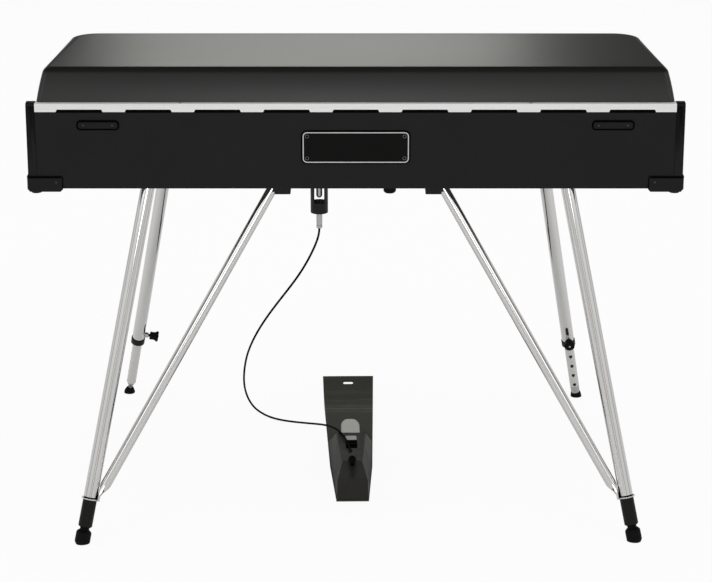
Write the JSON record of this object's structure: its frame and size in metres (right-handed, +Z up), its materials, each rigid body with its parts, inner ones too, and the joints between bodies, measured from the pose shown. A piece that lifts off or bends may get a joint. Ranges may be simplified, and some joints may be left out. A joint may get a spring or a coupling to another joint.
{
  "type": "electric piano",
  "caption": "Black stage electric piano on four splayed chrome legs, with a domed lift-off hood, a keyboard from E to E, and a sustain pedal joined to it by a cable.",
  "frame": {"origin": "on the floor, midway between the outermost points left and right and between the front and rear feet", "axes": "+Z up, +X to the player's right along the keyboard, +Y away from the player towards the rear panel"},
  "size_m": [1.1576, 0.808, 0.8507],
  "materials": {
    "vinyl": "black textured covering over board",
    "hood_shell": "black moulded shell with a fine grain",
    "rail_aluminium": "satin",
    "nameplate": "black, bare, with a thin silver border",
    "black_plastic": "satin",
    "black_rubber": "matt",
    "cable_jacket": "satin",
    "chrome": "polished",
    "steel": "satin",
    "lever_metal": "brushed",
    "works_wood": "plain",
    "harp_aluminium": "cast",
    "white_key": "gloss",
    "black_key": "gloss"
  },
  "bodies": {
    "case": {"bottom_board": "vinyl", "rear_panel": "vinyl", "left_cheek": "vinyl", "right_cheek": "vinyl", "key_slip": "vinyl", "rear_rail": "rail_aluminium", "nameplate": "nameplate", "left_side_plate": "black_plastic", "right_side_plate": "black_plastic", "rear_left_corner": "black_rubber", "rear_right_corner": "black_rubber", "front_left_corner": "black_rubber", "front_right_corner": "black_rubber", "left_brace_bracket": "black_plastic", "right_brace_bracket": "black_plastic", "underside_bumper": "black_rubber", "name_rail": "rail_aluminium", "rear_left_leg": "chrome", "rear_right_leg": "chrome", "rear_left_leg_boot": "black_rubber", "rear_right_leg_boot": "black_rubber", "left_brace": "chrome", "right_brace": "chrome", "front_left_leg": "chrome", "front_right_leg": "chrome", "front_left_collar": "black_plastic", "front_right_collar": "black_plastic", "pedal_base": "black_rubber", "pedal_housing": "black_plastic", "actuator_housing": "black_plastic", "cable_ferrule": "steel", "pedal_cable": "cable_jacket", "key_frame": "works_wood", "harp": "harp_aluminium", "lower_keys": "white_key", "upper_keys": "white_key"},
    "hood": {"hood": "hood_shell"},
    "left_telescope": {"front_left_inner_tube": "chrome", "front_left_foot": "black_rubber"},
    "right_telescope": {"front_right_inner_tube": "chrome", "front_right_foot": "black_rubber"},
    "left_pull": {"left_pull_knob": "black_plastic"},
    "right_pull": {"right_pull_knob": "black_plastic"},
    "lever": {"pedal_lever": "lever_metal"},
    "plunger": {"actuator_plunger": "steel"},
    "dampers": {"damper_bar": "works_wood"},
    "volume": {"volume_knob": "black_plastic"},
    "bass": {"bass_knob": "black_plastic"},
    "key_c": {"key_c": "white_key"},
    "key_c_sharp": {"key_c_sharp": "black_key"},
    "key_d": {"key_d": "white_key"},
    "key_d_sharp": {"key_d_sharp": "black_key"},
    "key_e": {"key_e": "white_key"},
    "key_f": {"key_f": "white_key"},
    "key_f_sharp": {"key_f_sharp": "black_key"},
    "key_g": {"key_g": "white_key"},
    "key_g_sharp": {"key_g_sharp": "black_key"},
    "key_a": {"key_a": "white_key"},
    "key_a_sharp": {"key_a_sharp": "black_key"},
    "key_b": {"key_b": "white_key"}
  },
  "joints": [
    {"name": "hood_lift", "type": "slide", "parent": "case", "child": "hood", "axis": [0, 0, 1], "range_m": [0, 0.15]},
    {"name": "left_leg_extend", "type": "slide", "parent": "case", "child": "left_telescope", "axis": [-0.1638, -0.2638, -0.9506], "range_m": [0, 0.096]},
    {"name": "left_knob_pull", "type": "slide", "parent": "case", "child": "left_pull", "axis": [-0.0448, 0.9646, -0.26], "range_m": [0, 0.006], "stiffness_N_per_m": 400, "springref_m": -0.003},
    {"name": "right_leg_extend", "type": "slide", "parent": "case", "child": "right_telescope", "axis": [0.1788, -0.2931, -0.9392], "range_m": [0, 0.096]},
    {"name": "right_knob_pull", "type": "slide", "parent": "case", "child": "right_pull", "axis": [-0.9839, -0.0532, -0.1707], "range_m": [0, 0.006], "stiffness_N_per_m": 400, "springref_m": -0.003},
    {"name": "pedal_press", "type": "hinge", "parent": "case", "child": "lever", "pos_m": [0.00754, 0.06924, 0.038], "axis": [0.9998, 0.018, 0], "range_deg": [0, 5.7], "stiffness_Nm_per_rad": 10, "springref_deg": -5.73},
    {"name": "plunger_rise", "type": "slide", "parent": "case", "child": "plunger", "axis": [0, 0, 1], "range_m": [0, 0.009]},
    {"name": "damper_rise", "type": "slide", "parent": "case", "child": "dampers", "axis": [0, 0, 1], "range_m": [0, 0.009]},
    {"name": "volume_turn", "type": "hinge", "parent": "case", "child": "volume", "pos_m": [-0.491, -0.10278, 0.77055], "axis": [0, -0.9722, 0.2343], "range_deg": [-150, 150]},
    {"name": "bass_turn", "type": "hinge", "parent": "case", "child": "bass", "pos_m": [-0.439, -0.10278, 0.77055], "axis": [0, -0.9722, 0.2343], "range_deg": [-150, 150]},
    {"name": "c_key_press", "type": "hinge", "parent": "case", "child": "key_c", "pos_m": [0, -0.02978, 0.7108], "axis": [1, 0, 0], "range_deg": [0, 2.5], "stiffness_Nm_per_rad": 2, "springref_deg": -5.73},
    {"name": "c_sharp_key_press", "type": "hinge", "parent": "case", "child": "key_c_sharp", "pos_m": [0, -0.02978, 0.7108], "axis": [1, 0, 0], "range_deg": [0, 2.5], "stiffness_Nm_per_rad": 2, "springref_deg": -5.73},
    {"name": "d_key_press", "type": "hinge", "parent": "case", "child": "key_d", "pos_m": [0, -0.02978, 0.7108], "axis": [1, 0, 0], "range_deg": [0, 2.5], "stiffness_Nm_per_rad": 2, "springref_deg": -5.73},
    {"name": "d_sharp_key_press", "type": "hinge", "parent": "case", "child": "key_d_sharp", "pos_m": [0, -0.02978, 0.7108], "axis": [1, 0, 0], "range_deg": [0, 2.5], "stiffness_Nm_per_rad": 2, "springref_deg": -5.73},
    {"name": "e_key_press", "type": "hinge", "parent": "case", "child": "key_e", "pos_m": [0, -0.02978, 0.7108], "axis": [1, 0, 0], "range_deg": [0, 2.5], "stiffness_Nm_per_rad": 2, "springref_deg": -5.73},
    {"name": "f_key_press", "type": "hinge", "parent": "case", "child": "key_f", "pos_m": [0, -0.02978, 0.7108], "axis": [1, 0, 0], "range_deg": [0, 2.5], "stiffness_Nm_per_rad": 2, "springref_deg": -5.73},
    {"name": "f_sharp_key_press", "type": "hinge", "parent": "case", "child": "key_f_sharp", "pos_m": [0, -0.02978, 0.7108], "axis": [1, 0, 0], "range_deg": [0, 2.5], "stiffness_Nm_per_rad": 2, "springref_deg": -5.73},
    {"name": "g_key_press", "type": "hinge", "parent": "case", "child": "key_g", "pos_m": [0, -0.02978, 0.7108], "axis": [1, 0, 0], "range_deg": [0, 2.5], "stiffness_Nm_per_rad": 2, "springref_deg": -5.73},
    {"name": "g_sharp_key_press", "type": "hinge", "parent": "case", "child": "key_g_sharp", "pos_m": [0, -0.02978, 0.7108], "axis": [1, 0, 0], "range_deg": [0, 2.5], "stiffness_Nm_per_rad": 2, "springref_deg": -5.73},
    {"name": "a_key_press", "type": "hinge", "parent": "case", "child": "key_a", "pos_m": [0, -0.02978, 0.7108], "axis": [1, 0, 0], "range_deg": [0, 2.5], "stiffness_Nm_per_rad": 2, "springref_deg": -5.73},
    {"name": "a_sharp_key_press", "type": "hinge", "parent": "case", "child": "key_a_sharp", "pos_m": [0, -0.02978, 0.7108], "axis": [1, 0, 0], "range_deg": [0, 2.5], "stiffness_Nm_per_rad": 2, "springref_deg": -5.73},
    {"name": "b_key_press", "type": "hinge", "parent": "case", "child": "key_b", "pos_m": [0, -0.02978, 0.7108], "axis": [1, 0, 0], "range_deg": [0, 2.5], "stiffness_Nm_per_rad": 2, "springref_deg": -5.73}
  ],
  "couplings": [
    {"joint": "plunger_rise", "follows": "pedal_press", "m_per_rad": 0.08},
    {"joint": "damper_rise", "follows": "pedal_press", "m_per_rad": 0.08}
  ]
}
